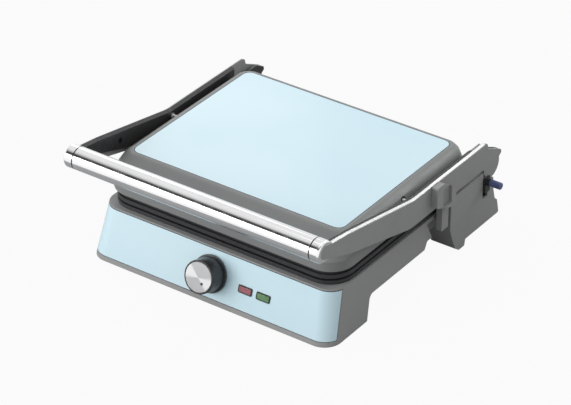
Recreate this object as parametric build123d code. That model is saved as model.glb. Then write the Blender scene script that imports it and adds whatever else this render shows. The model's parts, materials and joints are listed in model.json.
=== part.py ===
from build123d import *
from math import acos, atan, atan2, cos, degrees, hypot, radians, sin
import os

# A contact grill with a floating lid. Millimetres. X runs to the right, Y to the rear and Z up.
# The origin is on the table, in the mid plane, about halfway between the handle bar and the hinge.

# Clearances
slip_gap = 0.05
hole_gap = 0.2
cover_gap = 0.3
seam_gap = 0.4
slide_gap = 0.15

# Base: two round-cornered outlines joined by leaning walls
foot_height = 0.6
foot_pocket = 1.0
rim_height = 60.5
rim_inset = 0.4
rim_front_step = 1.3
rim_rear_inset = 2.0
side_flare = 5.7
front_flare = 19.0
rear_flare = 3.0
base_corner = 21.0
base_rear_corner = 15.0
wall = 2.6
rim_thickness = 3.0
cover_thickness = 2.2

# Underside: the front console stands on the table, the rest is raised
console_rear_floor = -78.5
console_rear_top = -69.5
belly_drop = 32.0
belly_step_start = 36.0
belly_step_end = 42.0
tail_drop = 24.0
belly_corner = 8.0
step_corner = 3.0

# Hollow behind the lock slider's leg
recess_front = 43.5
recess_slant = 8.0
recess_depth = 8.0
recess_drop = 4.5

# Blue sheet on the console
sheet_thickness = 1.2
sheet_low = 5.6
sheet_high = 59.2
seam_low_y = -132.0
seam_high_y = -115.0

# Lid: its widest outline, and for each level the height, how far the sides, front and rear
# are drawn in from that outline, and the corner, from the lip to the top
lid_half_width = 155.2
lid_front = -128.0
lid_rear = 133.0
lid_steps = (
    (78.5, 0.8, 2.5, 1.5, 29.0),
    (92.0, 0.0, 0.0, 0.0, 27.0),
    (103.0, 2.6, 11.0, 2.0, 23.0),
    (110.5, 6.3, 20.0, 5.4, 18.0),
    (114.8, 10.4, 25.7, 9.0, 14.5),
    (116.6, 14.3, 28.6, 11.6, 12.5),
)
lid_roof = 4.0
lid_bevel_wall = 3.6
lid_rim = 2.5
lid_groove = 0.5

# Cooking plates
plate_side_inset = 2.8
plate_front_inset = 4.5
plate_rear_inset = 6.5
plate_corner = 30.0
plate_flange = 4.6
plate_gap = 2.8
plate_floor = 4.0
plate_recess = 2.8
plate_border = 7.0
plate_body_inset = 7.9
skirt_inset = 3.0
skirt_wall = 2.6
skirt_height = 11.0
rib_height = 2.3
rib_pitch = 11.0
rib_foot = 4.4
rib_crest = 2.4
rib_margin = 5.0

# Heating elements and their shields
element_radius = 3.3
element_gap = 0.1
element_bend = 18.0
element_half_width = 112.0
element_front = -92.0
element_rear = 84.0
element_end = 106.0
element_end_half = 24.0
clip_sheet = 0.8
clip_length = 10.0
clip_foot = 4.0
shield_sheet = 0.8
shield_flange_inset = 3.4
shield_inset = 12.0
shield_depth = 9.9
shield_rise = 3.0
shield_rise_inset = 20.0

# Handle bar
bar_y = -164.7
bar_z = 135.0
bar_radius = 13.0
bar_wall = 1.2
cap_floor = 3.1
cap_round = 2.6
ring_width = 1.4
ring_depth = 0.9
plug_length = 22.0
bolt_radius = 2.5
bolt_head = 4.5
bolt_head_height = 1.6
bolt_bite = 20.0

# Arms: a grey outer moulding and a black inner one meet in a ridge along the top
arm_gap = 2.2
arm_width = 8.0
inner_cover = 3.5
core_sheet = 2.0
core_inset = 2.6
ridge_rise = 2.7
strip_thickness = 1.4
strip_width = 2.6
strip_front = -152.4
strip_rear = 141.0
arm_top = 112.6
arm_underside = 80.2
arm_bend_top_y = 0.0
arm_bend_bottom_y = -6.4
neck_top = (-123.7, 136.0)
neck_bottom = (-119.5, 109.5)
arm_bend = 50.0
disc_radius = 7.5
neck_lift = 6.5
cover_edge_front = (-122.8, 119.1)
cover_edge_rear = (-3.0, 80.2)
cover_rear = 119.0
cover_rear_top = 97.0
arm_screw_places = ((-90.0, 119.0), (30.0, 96.5), (105.0, 92.0))
arm_screw_radius = 1.5
arm_screw_head = 3.0
arm_screw_head_height = 1.0
arm_screw_length = 4.8
arm_screw_boss = 3.8

# Arm hinge
hinge_y = 160.0
hinge_z = 80.0
hinge_pin_radius = 4.5
hinge_pin_cover = 3.0
hinge_pin_head = 7.0
hinge_pin_head_height = 2.5
hinge_bush_radius = 6.0
knuckle_y = 157.0
knuckle_z = 79.0
knuckle_radius = 15.5
knuckle_boss = 8.0
knuckle_boss_length = 7.0
pocket_radius = 19.3
ear_gap = 0.8
ear_width = 9.6
ear_radius = 8.0
ear_foot_front = 11.0
ear_foot_rear = 2.0
tail_tip = (146.6, 110.8)
tail_notch = (148.6, 103.6)
tail_rear = (176.0, 90.0)
tail_low = (176.8, 86.0)
tail_neck = (170.5, 81.5)
tail_sheet = 2.5
tail_thin_front = 136.0
tail_thin_low = 94.0
tail_end_front = 168.5
tail_end_low = 80.0

# Hinge blocks: leg and foot given from the front edge, rear edge given from the hinge axis
block_front = 75.0
block_top = 76.0
block_leg = ((4.6, 22.0, 4.0), (11.7, 6.0, 4.0))
block_leg_top = 35.0
block_sole = (19.5, 30.6)
block_heel = 32.2
block_heel_top = 8.3
block_rear = ((16.4, 8.3, 2.0), (12.2, 26.5, 2.0), (7.0, 31.1, 2.0), (3.4, 44.0, 2.0), (2.0, 60.5, 0.0))
block_wall = 2.8
block_width = 31.4
block_neck_width = 8.4
block_neck_wall = 2.4
block_screw_places = ((90.0, 50.0), (112.0, 50.0))
block_boss = 4.0
block_screw_inset = 2.2
block_screw_length = 9.0

# Lid pivots
lid_pivot_y = 2.5
lid_pivot_z = 106.0
lid_pin_radius = 2.6
lid_pin_rivet_gap = 0.1
lid_pin_collar = 3.7
lid_pin_collar_width = 1.6
lid_bush_radius = 4.6
lid_bush_length = 8.2
lid_boss_radius = 6.8
lid_boss_depth = 21.4
lid_boss_floor = 2.6

# Knob and its shaft, square to the leaning front
knob_height = 32.2
knob_gap = 0.8
knob_skirt_radius = 21.2
knob_skirt_thickness = 3.0
knob_foot_radius = 19.4
knob_nose_radius = 18.7
knob_length = 23.4
knob_cap_radius = 16.6
knob_cap_thickness = 1.8
knob_edge = 0.6
pointer_radius = 1.6
pointer_proud = 0.2
pointer_reach = 8.1
pointer_angle = -46.5
shaft_radius = 3.0
shaft_flat = 0.8
shaft_depth = 14.0
shaft_reach = 15.0
thermostat_width = 28.0
thermostat_height = 24.0
thermostat_depth = 14.0
bracket_sheet = 1.2
bracket_width = 44.0
bracket_height = 18.0

# Lamps
lamp_height = 28.8
red_lamp_x = 46.0
green_lamp_x = 69.4
bezel_width = 18.2
bezel_height = 9.0
bezel_proud = 0.8
bezel_neck_inset = 0.9
bezel_depth = 8.0
lens_inset = 1.5
lens_proud = 1.2
lens_thickness = 3.5
neon_radius = 2.0
neon_depth = 6.0

# Lock slider on the right arm
slider_thickness = 7.6
slider_travel = 4.6
slider_outline = (
    (34.0, 87.5),
    (57.0, 77.5),
    (70.0, 73.5),
    (72.5, 80.0),
    (72.0, 92.0),
    (65.0, 101.0),
    (48.0, 112.0),
    (34.0, 112.0),
)
slider_corner = 2.0
groove_y = 54.5
groove_width = 17.0
groove_height = 25.5
groove_corner = 3.0
groove_top = 106.0
groove_depth = 3.0
groove_deep = 6.0
leg_front = 57.0
leg_rear = 70.0
leg_width = 7.4
leg_bottom = 44.2
leg_top = 79.5
lug_inset = 0.8
lug_width = 3.2
lug_low = 52.2
lug_high = 56.8
lug_tip = 74.6
tongue_front = 44.0
tongue_rear = 62.0
tongue_low = 93.0
tongue_high = 97.0
tongue_lip = 2.4
tongue_head = 1.4

# Release lever in the right hinge block
lever_y = 145.6
lever_travel = 12.0
lever_sheet = 2.5
lever_plate_half = 5.0
lever_plate_low = 47.0
lever_plate_top = 59.5
lever_neck_low = 54.8
lever_shelf = 2.5
lever_shelf_reach = 11.0
lever_slot_half = 5.2
lever_slot_low = 42.4
lever_face_low = 50.6
lever_face_top = 69.4
lever_face_sheet = 2.6
collar_z = 63.9
collar_radius = 4.6
collar_reach = 6.6
tip_length = 13.8
tip_radius = 4.1
tip_round = 1.2
spring_inset = 7.2
spring_radius = 3.2
spring_wire = 0.45
spring_turns = 8

# Screws and posts
screw_radius = 1.9
screw_head = 3.6
screw_head_height = 1.8
post_x = 90.0
post_y = 58.0
post_radius = 5.0
post_bite = 12.0
lid_post_split = 88.0

# Wiring and cord inlet
terminal_x = -70.0
terminal_y = 108.0
terminal_size = (40.0, 18.0, 8.0)
terminal_pitch = 12.0
terminal_well = 2.2
wire_radius = 1.5
wire_spread = 4.0
wire_drop = 17.8
gland_radius = 5.0
gland_bore = 3.4
gland_collar = 7.0
gland_drop = 15.5
gland_inner = 124.0
gland_outer = 139.0
gland_collar_start = 132.3
gland_collar_thickness = 2.0
fuse_radius = 2.0
fuse_length = 14.0
fuse_place = (40.0, 40.0)

# Feet
front_foot_x = 118.0
front_foot_y = -112.0
front_foot_radius = 9.0
rear_foot_inset = 3.0
rear_foot_outer_inset = 2.4
rear_foot_front = 96.5
rear_foot_rear = 104.0

# Places, levels and angles that follow from the above
base_rim_half_width = lid_half_width - rim_inset
base_rim_front = lid_front - rim_front_step
base_rim_rear = lid_rear - rim_rear_inset
base_floor_half_width = base_rim_half_width + side_flare
base_floor_front = base_rim_front - front_flare
base_floor_rear = base_rim_rear + rear_flare
plate_half_width = lid_half_width - plate_side_inset
plate_front = lid_front + plate_front_inset
plate_rear = lid_rear - plate_rear_inset
arm_inner = lid_half_width + arm_gap
arm_outer = arm_inner + arm_width
cap_start = arm_inner - cap_floor
bar_half_length = cap_start - ring_width
knuckle_boss_inner = arm_inner - knuckle_boss_length
hinge_pin_tip = arm_outer - hinge_pin_cover
ear_outer = knuckle_boss_inner - ear_gap
ear_inner = ear_outer - ear_width
block_inner = arm_outer - block_width
block_neck_inner = arm_outer - block_neck_width
block_screw_start = base_rim_half_width - block_screw_inset
lid_boss_start = arm_inner - lid_boss_depth
lid_pin_start = lid_boss_start + lid_boss_floor
lid_bush_start = lid_pin_start + seam_gap
lid_bush_end = lid_bush_start + lid_bush_length
lid_pin_collar_start = arm_inner - lid_pin_collar_width
leg_inner = arm_outer - leg_width
lug_inner = leg_inner + lug_inset
lug_outer = lug_inner + lug_width
lever_shelf_inner = arm_outer - lever_shelf_reach
collar_end = arm_outer + collar_reach
tip_end = collar_end + tip_length
spring_x = arm_outer - spring_inset
rear_foot_inner = block_inner + rear_foot_inset
rear_foot_outer = arm_outer - rear_foot_outer_inset
belly_height = rim_height - belly_drop
tail_height = rim_height - tail_drop
recess_top = rim_height - recess_drop
wire_height = rim_height - wire_drop
gland_z = rim_height - gland_drop
low_top = rim_height + plate_flange
low_face = low_top - plate_recess
low_underside = low_face - plate_floor
high_bottom = low_top + plate_gap
high_face = high_bottom + plate_recess
high_back = high_face + plate_floor
skirt_top = high_bottom + plate_flange + skirt_height
lid_top = lid_steps[-1][0]
roof_underside = lid_top - lid_roof
cover_outer = arm_inner + inner_cover
core_inner = cover_outer - core_sheet
lid_pin_end = cover_outer - lid_pin_rivet_gap
strip_inner = arm_outer - strip_width
strip_rise = ridge_rise * strip_width / (arm_outer - cover_outer)
tongue_inner = cover_outer + slide_gap
lean = degrees(atan((base_rim_front - base_floor_front) / (rim_height - foot_height)))
far = 250.0

base_floor = (base_floor_half_width, base_floor_front, base_floor_rear, base_corner, base_rear_corner)
base_rim = (base_rim_half_width, base_rim_front, base_rim_rear, base_corner, base_rear_corner)
lid_levels = [
    ((lid_half_width - side, lid_front + front, lid_rear - rear, corner, corner), z)
    for z, side, front, rear, corner in lid_steps
]
lid_top_outline = lid_levels[-1][0]
plate_outline = (plate_half_width, plate_front, plate_rear, plate_corner, plate_corner)

os.makedirs("parts", exist_ok=True)


def save(name, *shapes):
    """Write one node, as one solid or as a group of separate solids."""
    solids = []
    for shape in shapes:
        solids.extend(shape.solids())
    export_step(solids[0] if len(solids) == 1 else Compound(solids), f"parts/{name}.step")


def left(shape):
    """The mirror image of a right-hand piece."""
    return mirror(shape, about=Plane.YZ)


def plan(section):
    """A rectangle with round corners, seen from above."""
    half, front, rear, front_round, rear_round = section
    edges = [
        Line((-half + front_round, front), (half - front_round, front)),
        CenterArc((half - front_round, front + front_round), front_round, -90, 90),
        Line((half, front + front_round), (half, rear - rear_round)),
        CenterArc((half - rear_round, rear - rear_round), rear_round, 0, 90),
        Line((half - rear_round, rear), (-half + rear_round, rear)),
        CenterArc((-half + rear_round, rear - rear_round), rear_round, 90, 90),
        Line((-half, rear - rear_round), (-half, front + front_round)),
        CenterArc((-half + front_round, front + front_round), front_round, 180, 90),
    ]
    return Face(Wire(edges))


def inset(section, amount):
    """The same outline, drawn in by an amount on every side."""
    half, front, rear, front_round, rear_round = section
    rounds = (max(front_round - amount, 1.0), max(rear_round - amount, 1.0))
    return (half - amount, front + amount, rear - amount, *rounds)


def blend(low_section, low, high_section, high, z):
    """The outline of a straight wall at height z."""
    share = (z - low) / (high - low)
    return tuple(a + (b - a) * share for a, b in zip(low_section, high_section))


def tower(*levels):
    """Straight walls through outlines at rising heights."""
    return loft([Pos(0, 0, z) * plan(section) for section, z in levels], ruled=True)


def slab(section, low, high):
    """One outline, carried straight up."""
    return Pos(0, 0, low) * extrude(plan(section), amount=high - low)


def side_shape(sketch, start, end):
    """A side view, with Y across and Z up, given its width along X."""
    return extrude(Plane.YZ.offset(start) * sketch, amount=end - start)


def outline(points, radii):
    """A closed side view with rounded corners."""
    return make_face(FilletPolyline(*points, radius=radii, close=True))


def rod(radius, start, end, y, z):
    """A round bar along X."""
    return side_shape(Pos(y, z) * Circle(radius), start, end)


def rod_to_rear(radius, start, end, x, z):
    """A round bar along Y."""
    return Pos(x, start, z) * Rot(-90, 0, 0) * extrude(Circle(radius), amount=end - start)


def post(radius, x, y, low, high):
    """An upright round bar."""
    return Pos(x, y, low) * extrude(Circle(radius), amount=high - low)


def block(x_span, y_span, z_span):
    """A plain box between two corners."""
    spans = (x_span, y_span, z_span)
    middle = [(high + low) / 2 for low, high in spans]
    return Pos(*middle) * Box(*[high - low for low, high in spans])


def screw(radius, length, head, head_height):
    """A screw along Z, with its head below and a cross recess in the head."""
    recess = head / 2
    slot = head / 5
    cross = Box(2 * recess, slot, head_height) + Box(slot, 2 * recess, head_height)
    body = Pos(0, 0, -head_height) * extrude(Circle(head), amount=head_height)
    return body + extrude(Circle(radius), amount=length) - Pos(0, 0, -head_height) * cross


def front_place(x, height):
    """A place on the console's leaning front, with Z pointing out of it."""
    share = (height - foot_height) / (rim_height - foot_height)
    y = base_floor_front + (base_rim_front - base_floor_front) * share
    outward = (0, -cos(radians(lean)), sin(radians(lean)))
    return Plane(origin=(x, y, height), x_dir=(1, 0, 0), z_dir=outward).location


def post_spots():
    """Places of the four posts that carry each plate."""
    return [(x, y) for x in (-post_x, post_x) for y in (-post_y, post_y)]


def belly_at(y):
    """Height of the underside below a place on the raised part."""
    return tail_height if y > belly_step_end else belly_height


# Base shells

def underside():
    """Side view of the space under the raised part of the base."""
    points = [
        (console_rear_floor, 0),
        (console_rear_top, belly_height),
        (belly_step_start, belly_height),
        (belly_step_end, tail_height),
        (far, tail_height),
        (far, 0),
    ]
    return outline(points, [0, belly_corner, step_corner, step_corner, 0, 0])


def above_cover():
    """Side view of the space over the bottom cover."""
    rise = cover_thickness
    run = (console_rear_top - console_rear_floor) / belly_height * foot_height
    points = [
        (-far, foot_height + rise),
        (console_rear_floor + run - rise, foot_height + rise),
        (console_rear_top - rise, belly_height + rise),
        (belly_step_start - rise, belly_height + rise),
        (belly_step_end - rise, tail_height + rise),
        (far, tail_height + rise),
        (far, far),
        (-far, far),
    ]
    bends = [0, step_corner, belly_corner + rise, step_corner - rise, step_corner + rise, 0, 0, 0]
    return outline(points, bends)


def base_body():
    """The base's outer shape as one block."""
    return tower((base_floor, foot_height), (base_rim, rim_height)) - side_shape(underside(), -far, far)


def base_inside(extra):
    """The hollow of the base, smaller by an extra amount."""
    ceiling = rim_height - rim_thickness
    top = blend(base_floor, foot_height, base_rim, rim_height, ceiling)
    return tower((inset(base_floor, wall + extra), foot_height), (inset(top, wall + extra), ceiling))


def leg_recess(extra):
    """The hollow that the slider's leg stands in front of, larger by an extra amount."""
    low = recess_front + recess_slant * (recess_top - belly_height) / (recess_top - tail_height)
    points = [
        (recess_front - extra, recess_top + extra),
        (block_front + extra, recess_top + extra),
        (block_front + extra, belly_height),
        (low - extra, belly_height),
    ]
    side = make_face(Polyline(*points, close=True))
    return side_shape(side, base_rim_half_width - recess_depth - extra, far)


def console_skin(margin):
    """The thin outer layer of the console that the blue sheet takes up."""
    inner_floor = inset(base_floor, sheet_thickness)
    inner_rim = inset(base_rim, sheet_thickness)
    inner = tower((inner_floor, foot_height), (inner_rim, rim_height))
    points = [
        (-far, sheet_low + margin),
        (seam_low_y - margin, sheet_low + margin),
        (seam_high_y - margin, sheet_high - margin),
        (-far, sheet_high - margin),
    ]
    zone = side_shape(make_face(Polyline(*points, close=True)), -far, far)
    return (base_body() - inner) & zone


def front_holes():
    """Holes in the console's front for the knob shaft and both lamps."""
    hole = extrude(Circle(shaft_radius + 1), amount=20)
    holes = front_place(0, knob_height) * Pos(0, 0, -10) * hole
    width = bezel_width - 2 * bezel_neck_inset + 2 * hole_gap
    height = bezel_height - 2 * bezel_neck_inset + 2 * hole_gap
    for x in (red_lamp_x, green_lamp_x):
        holes += front_place(x, lamp_height) * Pos(0, 0, -10) * extrude(Rectangle(width, height), amount=20)
    return holes


def base_housing():
    """Grey moulded shell with its rim, console and side walls."""
    shell = base_body() - (base_inside(0) - leg_recess(wall)) - leg_recess(0)
    shell -= slab(inset(plate_outline, plate_body_inset - seam_gap), rim_height - rim_thickness, rim_height)
    shell -= console_skin(0)
    shell -= front_holes()
    shell -= rod_to_rear(gland_radius + slip_gap, gland_inner, gland_outer, terminal_x, gland_z)
    holes = [rod(screw_radius + hole_gap, block_inner, far, y, z) for y, z in block_screw_places]
    return shell - (holes + [left(hole) for hole in holes])


def front_panel():
    """Painted sheet that wraps the console's front and corners."""
    return console_skin(seam_gap) - front_holes()


def base_bottom_cover():
    """Cover that closes the base from below and forms the console's rear."""
    cover = base_inside(cover_gap) - side_shape(underside(), -far, far)
    cover -= side_shape(above_cover(), -far, far)
    cover -= leg_recess(wall + cover_gap)
    for x, y in post_spots():
        cover -= post(screw_radius + hole_gap, x, y, 0, rim_height)
    for x in (-front_foot_x, front_foot_x):
        cover -= post(front_foot_radius, x, front_foot_y, 0, foot_height + foot_pocket)
    return cover


def base_screws():
    """Screws from below, through the bottom cover into the lower plate's posts."""
    length = cover_thickness + post_bite
    pin = screw(screw_radius, length, screw_head, screw_head_height)
    return [Pos(x, y, belly_at(y)) * pin for x, y in post_spots()]


def rubber_feet():
    """Two round pads under the console and one pad under each hinge block."""
    height = foot_height + foot_pocket
    feet = [post(front_foot_radius, x, front_foot_y, 0, height) for x in (-front_foot_x, front_foot_x)]
    return feet + [rear_pad(), left(rear_pad())]


def rear_pad():
    """Rubber pad let into the sole of the right hinge block."""
    x_span = (rear_foot_inner, rear_foot_outer)
    return block(x_span, (rear_foot_front, rear_foot_rear), (0, foot_height + foot_pocket))


# Cooking plates

def ribs(root, crest):
    """Grill ribs along Y, from their root level to their crest level."""
    inner = inset(plate_outline, plate_border + rib_margin)
    count = int(inner[0] / rib_pitch - 0.5)
    profile = Polyline(
        (-rib_foot / 2, root),
        (-rib_crest / 2, crest),
        (rib_crest / 2, crest),
        (rib_foot / 2, root),
        close=True,
    )
    rib = Pos(0, inner[2], 0) * Rot(90, 0, 0) * extrude(make_face(profile), amount=inner[2] - inner[1])
    return [Pos(rib_pitch * step, 0, 0) * rib for step in range(-count, count + 1)]


def lower_plate():
    """Lower cooking plate with its flange, grease channel, ribs and posts."""
    plate = slab(plate_outline, rim_height, low_top)
    plate += slab(inset(plate_outline, plate_body_inset), low_underside, rim_height)
    plate -= slab(inset(plate_outline, plate_border), low_face, low_top)
    plate += ribs(low_face, low_face + rib_height)
    for x, y in post_spots():
        foot = belly_at(y) + cover_thickness
        plate += post(post_radius, x, y, foot, low_underside + 1)
        plate -= post(screw_radius, x, y, foot, foot + post_bite)
    return plate


def upper_plate():
    """Upper cooking plate with its rim, the skirt that enters the lid, ribs and posts."""
    shoulder = high_bottom + plate_flange
    plate = slab(plate_outline, high_bottom, shoulder)
    plate += slab(inset(plate_outline, skirt_inset), shoulder, skirt_top)
    plate -= slab(inset(plate_outline, skirt_inset + skirt_wall), high_back, skirt_top)
    plate -= slab(inset(plate_outline, plate_border), high_bottom, high_face)
    plate += ribs(high_face, high_face - rib_height)
    for x, y in post_spots():
        plate += post(post_radius, x, y, high_back - 1, lid_post_split)
        plate -= post(screw_radius, x, y, lid_post_split - post_bite, lid_post_split)
    return plate


def element(z):
    """Tubular heating element, bent into a wide loop."""
    points = [
        (-element_end_half, element_end, z),
        (-element_end_half, element_rear, z),
        (-element_half_width, element_rear, z),
        (-element_half_width, element_front, z),
        (element_half_width, element_front, z),
        (element_half_width, element_rear, z),
        (element_end_half, element_rear, z),
        (element_end_half, element_end, z),
    ]
    path = FilletPolyline(*points, radius=element_bend)
    start = Plane(origin=path @ 0, z_dir=path % 0)
    return sweep(start * Circle(element_radius), path=path)


def clips():
    """Sheet straps that hold an element down on a plate lying below it."""
    inner = element_radius + element_gap
    height = 2 * inner
    foot = Pos(0, 0, clip_sheet / 2) * Box(2 * (inner + clip_sheet + clip_foot), clip_length, clip_sheet)
    crown = height + clip_sheet
    arch = Pos(0, 0, crown / 2) * Box(2 * (inner + clip_sheet), clip_length, crown)
    strap = foot + arch - Pos(0, 0, height / 2) * Box(2 * inner, clip_length, height)
    turned = Rot(0, 0, 90) * strap
    spots = [Pos(x, 0, 0) * strap for x in (-element_half_width, element_half_width)]
    return spots + [Pos(x, element_front, 0) * turned for x in (-post_x / 2, post_x / 2)]


def lower_heat_shield():
    """Pressed pan under the lower element."""
    top = rim_height - rim_thickness
    floor = top - shield_depth
    pan = slab(inset(plate_outline, shield_flange_inset), top - shield_sheet, top)
    pan += slab(inset(plate_outline, shield_inset), floor, top)
    pan -= slab(inset(plate_outline, shield_inset + shield_sheet), floor + shield_sheet, top)
    pan -= leg_recess(wall + cover_gap)
    for x, y in post_spots():
        pan -= post(post_radius + seam_gap, x, y, 0, rim_height)
    return pan


def upper_heat_shield():
    """Pressed sheet over the upper element, lying on the plate's skirt."""
    raised = skirt_top + shield_sheet + shield_rise
    sheet = slab(inset(plate_outline, shield_flange_inset), skirt_top, skirt_top + shield_sheet)
    sheet += slab(inset(plate_outline, shield_rise_inset), skirt_top, raised)
    sheet -= slab(inset(plate_outline, shield_rise_inset + shield_sheet), skirt_top, raised - shield_sheet)
    for x, y in post_spots():
        sheet -= post(post_radius + seam_gap, x, y, 0, lid_top)
    return sheet


def thermal_fuse():
    """Thermal cut-out with its strap, lying on a plate below it."""
    inner = fuse_radius + element_gap
    strap = Pos(0, 0, clip_sheet / 2) * Box(clip_length / 2, 2 * (inner + clip_sheet + clip_foot), clip_sheet)
    crown = 2 * inner + clip_sheet
    strap += Pos(0, 0, crown / 2) * Box(clip_length / 2, 2 * (inner + clip_sheet), crown)
    strap -= Pos(0, 0, inner) * Box(clip_length, 2 * inner, 2 * inner)
    lying = Pos(-fuse_length / 2, 0, inner) * Rot(0, 90, 0)
    capsule = lying * extrude(Circle(fuse_radius), amount=fuse_length)
    return Pos(*fuse_place, 0) * (strap + capsule)


def on_lower(shape):
    """Hang a piece made for the top of a plate under the lower plate."""
    return Pos(0, 0, low_underside) * mirror(shape, about=Plane.XY)


def on_upper(shape):
    """Stand a piece on the back of the upper plate."""
    return Pos(0, 0, high_back) * shape


# Lid

def lid_outer():
    """The lid frame's outer shape as one block."""
    return tower(*lid_levels)


def lid_frame():
    """Grey bevelled lid shell with screw posts and the bosses of its pivots."""
    outer = lid_outer()
    hollow = [(inset(section, wall), z) for section, z in lid_levels[:3]]
    hollow.append((inset(lid_levels[3][0], lid_bevel_wall), lid_levels[3][1]))
    ceiling = blend(*lid_levels[3], *lid_levels[4], roof_underside)
    hollow.append((inset(ceiling, lid_bevel_wall), roof_underside))
    shell = outer - tower(*hollow)
    for x, y in post_spots():
        shell += post(post_radius, x, y, lid_post_split, roof_underside + 1)
    boss = rod(lid_boss_radius, lid_boss_start, arm_inner, lid_pivot_y, lid_pivot_z) & outer
    shell += [boss, left(boss)]
    bore = rod(lid_bush_radius + slip_gap, lid_pin_start - hole_gap, arm_inner, lid_pivot_y, lid_pivot_z)
    shell -= [bore, left(bore)]
    seat = lid_top - sheet_thickness
    shell -= slab(inset(lid_top_outline, lid_rim), seat, lid_top)
    for x, y in post_spots():
        shell -= post(screw_radius + hole_gap, x, y, lid_post_split, seat)
        shell -= post(screw_head + hole_gap, x, y, seat - screw_head_height - hole_gap, seat)
    return shell


def lid_panel():
    """Painted sheet let into the lid's top."""
    return slab(inset(lid_top_outline, lid_rim + lid_groove), lid_top - sheet_thickness, lid_top)


def lid_screws():
    """Screws under the lid sheet, down into the upper plate's posts."""
    head_level = lid_top - sheet_thickness - screw_head_height - hole_gap
    length = head_level - lid_post_split + post_bite - hole_gap
    pin = Rot(180, 0, 0) * screw(screw_radius - slip_gap, length, screw_head, screw_head_height)
    return [Pos(x, y, head_level) * pin for x, y in post_spots()]


def lid_pivot_bush():
    """Plain bush in the lid for a pivot pin."""
    bush = rod(lid_bush_radius, lid_bush_start, lid_bush_end, lid_pivot_y, lid_pivot_z)
    return bush - rod(lid_pin_radius + slip_gap, lid_bush_start, lid_bush_end, lid_pivot_y, lid_pivot_z)


# Arms and handle

def bar_tangent(point, side, radius):
    """Where a line from a point touches a circle about the bar's axis, above (1) or below (-1)."""
    across = point[0] - bar_y
    up = point[1] - bar_z
    turn = atan2(up, across) + side * acos(radius / hypot(across, up))
    return (bar_y + radius * cos(turn), bar_z + radius * sin(turn))


def arm_side():
    """Side view of an arm from the disc at the bar to the knuckle at the hinge."""
    corners = [
        (bar_tangent(neck_top, 1, neck_lift), 0),
        (neck_top, arm_bend),
        ((arm_bend_top_y, arm_top), arm_bend),
        ((strip_rear, arm_top), 8),
        (tail_tip, 2),
        (tail_notch, 2),
        (tail_rear, 2),
        (tail_low, 1),
        (tail_neck, 3),
        ((hinge_y, hinge_z), 0),
        ((knuckle_y - knuckle_radius + 1, arm_underside), 0),
        ((arm_bend_bottom_y, arm_underside), arm_bend),
        (neck_bottom, arm_bend),
        (bar_tangent(neck_bottom, -1, disc_radius), 0),
        ((bar_y, bar_z), 0),
    ]
    side = outline([point for point, _ in corners], [bend for _, bend in corners])
    return side + Pos(bar_y, bar_z) * Circle(disc_radius) + Pos(knuckle_y, knuckle_z) * Circle(knuckle_radius)


def window(low_y, high_y, low_z, high_z):
    """A plain rectangle in the side view."""
    return Pos((low_y + high_y) / 2, (low_z + high_z) / 2) * Rectangle(high_y - low_y, high_z - low_z)


def strip_side(extra, above):
    """Side view of the bright strip on the arm's top edge, larger by an extra amount."""
    side = arm_side()
    band = side + Pos(0, above) * side - Pos(0, -strip_thickness - extra) * side
    return band & window(strip_front - extra, strip_rear + extra, (arm_top + arm_underside) / 2, far)


def ridge(sketch, start, end):
    """The upper part of a moulding, rising from one plane along X to another."""
    upper = sketch & window(strip_front, strip_rear, (arm_top + arm_underside) / 2, far)
    return slanted(upper, start, end, ridge_rise)


def slanted(sketch, start, end, rise):
    """A side view carried from one plane along X to another while it rises."""
    run = end - start
    return extrude(Plane.YZ.offset(start) * sketch, amount=hypot(run, rise), dir=(run, 0, rise))


def ridge_cap():
    """Inner half of the ridge's outer slope, which belongs to the arm's inner moulding."""
    slope = ridge(cover_side(), arm_outer, cover_outer)
    slope &= block((cover_outer, strip_inner), (-far, cover_rear), (0, far))
    return slope - side_shape(arm_side(), cover_outer, arm_outer)


def cover_side():
    """Side view of an arm's inner moulding: straight lower edge, short at the rear."""
    y, z = cover_edge_rear
    slope = (z - cover_edge_front[1]) / (y - cover_edge_front[0])
    above = [(-far, z + slope * (-far - y)), (y, z), (y, 0), (far, 0), (far, far), (-far, far)]
    side = arm_side() & make_face(Polyline(*above, close=True))
    side = side & (window(-far, cover_rear, 0, far) + window(-far, far, 0, cover_rear_top))
    return side + Pos(bar_y, bar_z) * Circle(disc_radius)


def at_bar(radius, start, end):
    return rod(radius, start, end, bar_y, bar_z)


def at_hinge(radius, start, end):
    return rod(radius, start, end, hinge_y, hinge_z)


def arm_screw_holes(radius, start, end):
    """Round holes along X at the arm's screw places."""
    return [rod(radius, start, end, y, z) for y, z in arm_screw_places]


def arm_shell():
    """Grey outer moulding of the right arm, with the boss of its hinge."""
    slope = ridge(arm_side(), arm_outer, cover_outer)
    slope -= block((cover_outer, strip_inner), (-far, cover_rear), (0, far))
    shell = side_shape(arm_side(), cover_outer, arm_outer) + slope
    shell -= slanted(strip_side(slip_gap, strip_thickness), arm_outer, strip_inner, strip_rise)
    shell += at_hinge(knuckle_boss, knuckle_boss_inner, arm_outer)
    thin = (cover_outer, arm_outer - tail_sheet)
    shell -= block(thin, (tail_thin_front, far), (tail_thin_low, far))
    shell -= block(thin, (tail_end_front, far), (tail_end_low, far))
    shell -= at_bar(bolt_head + hole_gap, cover_outer, cover_outer + bolt_head_height + hole_gap)
    shell -= at_hinge(hinge_bush_radius + slip_gap, knuckle_boss_inner, hinge_pin_tip + seam_gap)
    screw_end = arm_inner + arm_screw_head_height + arm_screw_length
    return shell - arm_screw_holes(arm_screw_radius + slip_gap, cover_outer, screw_end + hole_gap)


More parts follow.
